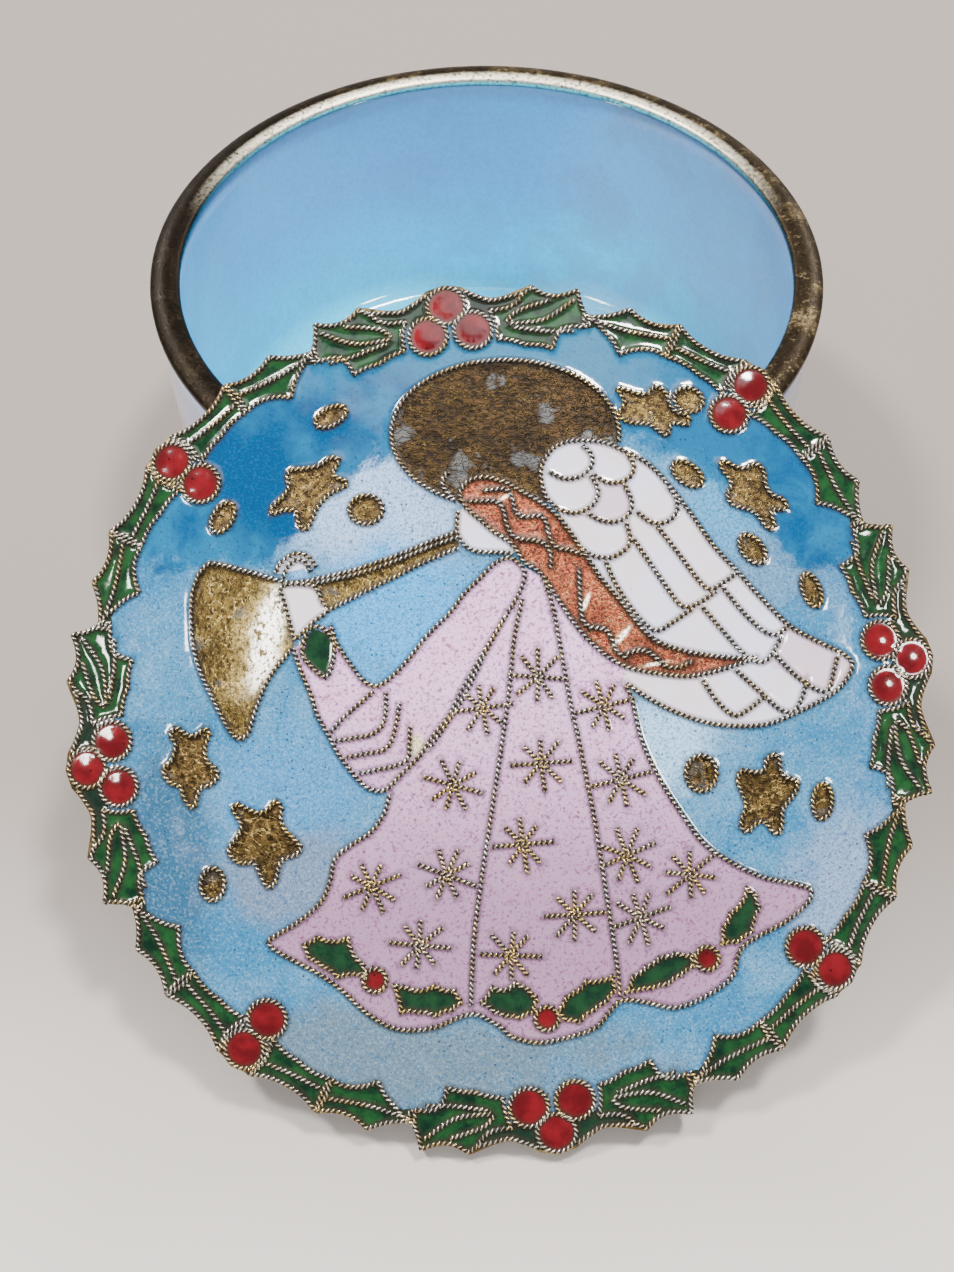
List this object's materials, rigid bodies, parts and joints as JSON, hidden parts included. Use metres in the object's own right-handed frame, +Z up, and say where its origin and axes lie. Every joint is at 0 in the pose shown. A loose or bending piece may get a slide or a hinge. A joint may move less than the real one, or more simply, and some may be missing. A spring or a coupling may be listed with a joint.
{
  "type": "cloisonne enamel box",
  "caption": "Round open enamelled trinket box with a flat brass rim, and a lift-off domed lid with a wreath edge and a wired enamel picture, leaning on its front.",
  "frame": {"origin": "middle of the base's underside, on the surface it stands on", "axes": "+Z up out of the box's mouth, -Y towards the front, where the lid leans"},
  "size_m": [0.0776, 0.1184, 0.0447],
  "materials": {
    "pale_blue_enamel": "glossy vitreous enamel on copper, inside and out",
    "aged_brass": "dark brown patina with bright worn patches",
    "picture_enamel": "glossy coloured enamels between twisted gilt wires",
    "gilt_brass": "worn gilding"
  },
  "bodies": {
    "root": {"base_cup": "pale_blue_enamel", "mouth_ring": "aged_brass", "lid_plate": "picture_enamel", "lid_collar": "gilt_brass"}
  },
  "joints": []
}
